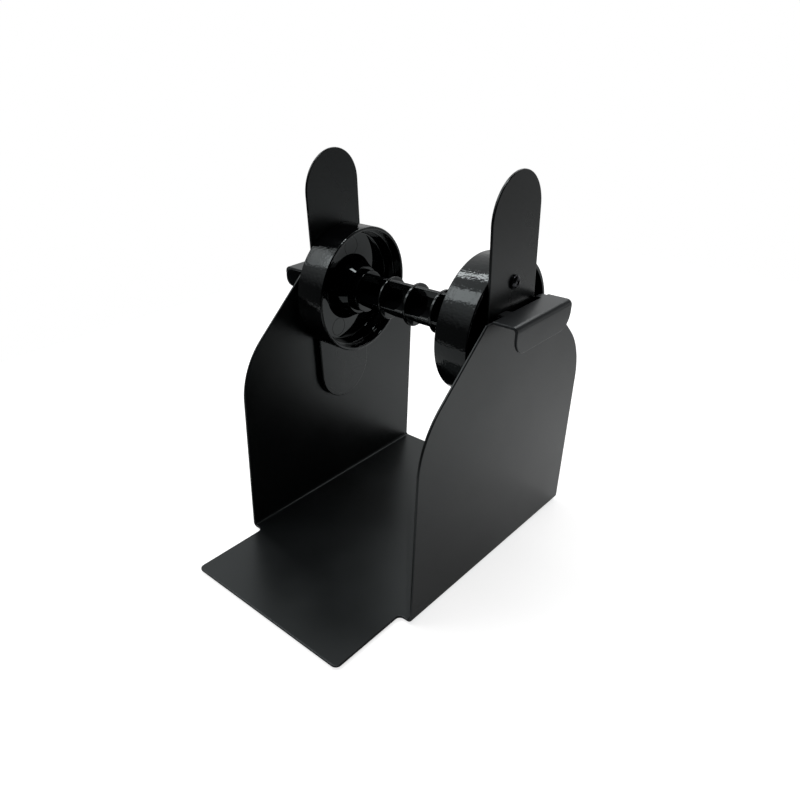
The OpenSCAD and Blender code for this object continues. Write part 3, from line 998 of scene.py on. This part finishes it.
def add_camera():
    data = bpy.data.cameras.new("camera")
    data.sensor_width = CAMERA_SENSOR
    data.lens = CAMERA_LENS
    data.shift_x, data.shift_y = CAMERA_SHIFT
    camera = bpy.data.objects.new("camera", data)
    right = Vector(CAMERA_RIGHT).normalized()
    back = right.cross(Vector(CAMERA_UP)).normalized()
    up = back.cross(right)
    camera.matrix_world = Matrix.Translation(CAMERA_AT) @ Matrix((right, up, back)).transposed().to_4x4()
    bpy.context.scene.collection.objects.link(camera)
    bpy.context.scene.camera = camera


# Studio: a white table, and soft boxes as (name, place, length along X, depth, brightness)
TABLE_X = (-0.45, 0.9)
TABLE_Y = (-0.30, 0.7)
TABLE_WHITE = (0.62, 0.62, 0.62, 1)
WHITE = (1, 1, 1, 1)
SOFT_BOXES = (
    ("strip_box", (-0.36, 0.08, 1.17), 1.5, 0.14, 8.0),
    ("near_box", (-0.525, -0.53, 0.97), 0.45, 0.36, 3.1),
    ("far_box", (-0.975, -0.48, 1.00), 0.45, 0.60, 1.2),
    ("back_box", (-0.04, 0.70, 0.84), 0.46, 0.42, 2.2),
)
AIM = Vector((0.0, 0.02, 0.14))

# How the room's brightness runs with direction: axis, its two ends, and the values there
ROOM_RAMPS = {
    "left": ("X", 0.1, -0.4, 0.0, 1.0),
    "up": ("Z", 0.1, 0.6, 0.06, 0.72),
    "right": ("X", -0.2, 0.3, 0.5, 1.0),
    "back": ("Y", 0.3, 0.8, 0.0, 1.0),
    "over": ("Z", -0.05, 0.12, 0.3, 1.1),
    "under": ("leaning", 0.15, 0.5, 1.1, 0.0),
}
# The leaning axis is Z plus this share of X, with X held above the second number
ROOM_LEAN = 0.4
ROOM_LEAN_FROM = -0.2
# How the table's image in the object falls off, along Y, to the back and to the front
TABLE_RAMPS = {"back": (0.2, 0.55, 0.34, 0.1), "front": (-0.15, 0.16, 0.0, 0.34)}
# The table's own light for the camera, over what the lamps give it
TABLE_LIFT = 0.8


def seen_plainly(tree):
    """1 for rays from the camera or through glass, and 0 for the rest."""
    path = add_node(tree, "ShaderNodeLightPath").outputs
    inputs = {0: path["Is Camera Ray"], 1: path["Is Transmission Ray"]}
    return add_node(tree, "ShaderNodeMath", inputs, operation="MAXIMUM")


def room_level(tree):
    """How bright the room is in each direction: open on the left, lit low at the back, dark in front."""
    way = add_node(tree, "ShaderNodeTexCoord").outputs["Generated"]
    axes = dict(add_node(tree, "ShaderNodeSeparateXYZ", {"Vector": way}).outputs.items())
    rightward = add_node(tree, "ShaderNodeMath", {0: axes["X"], 1: ROOM_LEAN_FROM}, operation="MAXIMUM")
    tilt = add_node(tree, "ShaderNodeMath", {0: rightward, 1: ROOM_LEAN}, operation="MULTIPLY")
    axes["leaning"] = add_node(tree, "ShaderNodeMath", {0: axes["Z"], 1: tilt}, operation="ADD")
    share = {}
    for name, (axis, start, end, first, last) in ROOM_RAMPS.items():
        inputs = {"Value": axes[axis], "From Min": start, "From Max": end, "To Min": first, "To Max": last}
        share[name] = add_node(tree, "ShaderNodeMapRange", inputs)
    low = add_node(tree, "ShaderNodeMath", {0: share["over"], 1: share["under"]}, operation="MINIMUM")
    behind = add_node(tree, "ShaderNodeMath", {0: share["right"], 1: share["back"]}, operation="MULTIPLY")
    glow = add_node(tree, "ShaderNodeMath", {0: behind, 1: low}, operation="MULTIPLY")
    window = add_node(tree, "ShaderNodeMath", {0: share["left"], 1: share["up"]}, operation="MULTIPLY")
    return add_node(tree, "ShaderNodeMath", {0: window, 1: glow}, operation="ADD")


def add_room():
    """A dim room, white to the camera."""
    world = bpy.data.worlds.new("studio")
    world.use_nodes = True
    tree = world.node_tree
    tree.nodes.clear()
    white = add_node(tree, "ShaderNodeBackground", {"Color": WHITE, "Strength": 1.0})
    room = add_node(tree, "ShaderNodeBackground", {"Color": WHITE, "Strength": room_level(tree)})
    mix = add_node(tree, "ShaderNodeMixShader", {0: seen_plainly(tree), 1: room, 2: white})
    add_node(tree, "ShaderNodeOutputWorld", {"Surface": mix})
    bpy.context.scene.world = world


def add_table():
    """Matt white paper that keeps the object's shadow, and is white to the camera."""
    paper, tree, where = new_material("studio_paper")
    place = add_node(tree, "ShaderNodeSeparateXYZ", {"Vector": where}).outputs
    falls = []
    for start, end, first, last in TABLE_RAMPS.values():
        inputs = {"Value": place["Y"], "From Min": start, "From Max": end, "To Min": first, "To Max": last}
        falls.append(add_node(tree, "ShaderNodeMapRange", inputs))
    falling = add_node(tree, "ShaderNodeMath", {0: falls[0], 1: falls[1]}, operation="MINIMUM")
    glossy = add_node(tree, "ShaderNodeLightPath").outputs["Is Glossy Ray"]
    image = add_node(tree, "ShaderNodeMath", {0: glossy, 1: falling}, operation="MULTIPLY")
    plain = add_node(tree, "ShaderNodeMath", {0: seen_plainly(tree), 1: TABLE_LIFT}, operation="MULTIPLY")
    lift = add_node(tree, "ShaderNodeMath", {0: plain, 1: image}, operation="MAXIMUM")
    finish_material(
        paper,
        {
            "Base Color": TABLE_WHITE,
            "Roughness": 0.9,
            "Specular IOR Level": 0.0,
            "Emission Color": WHITE,
            "Emission Strength": lift,
        },
    )
    bm = bmesh.new()
    (x0, x1), (y0, y1) = TABLE_X, TABLE_Y
    add_face(bm, [(x0, y0, 0), (x1, y0, 0), (x1, y1, 0), (x0, y1, 0)])
    to_object(bm, "studio_floor", paper, outward=False)


def add_soft_boxes():
    """Soft boxes with their long side along X, tilted to face the object."""
    for name, place, length, depth, brightness in SOFT_BOXES:
        lamp = bpy.data.lights.new(name, "AREA")
        lamp.shape = "RECTANGLE"
        lamp.size, lamp.size_y = length, depth
        lamp.energy = brightness * math.pi * length * depth
        holder = bpy.data.objects.new(name, lamp)
        holder.location = place
        holder.rotation_euler = (math.atan2(AIM.y - place[1], place[2] - AIM.z), 0, 0)
        bpy.context.scene.collection.objects.link(holder)


add_camera()
build_object()
add_room()
add_table()
add_soft_boxes()
bpy.context.scene.view_settings.view_transform = "Standard"
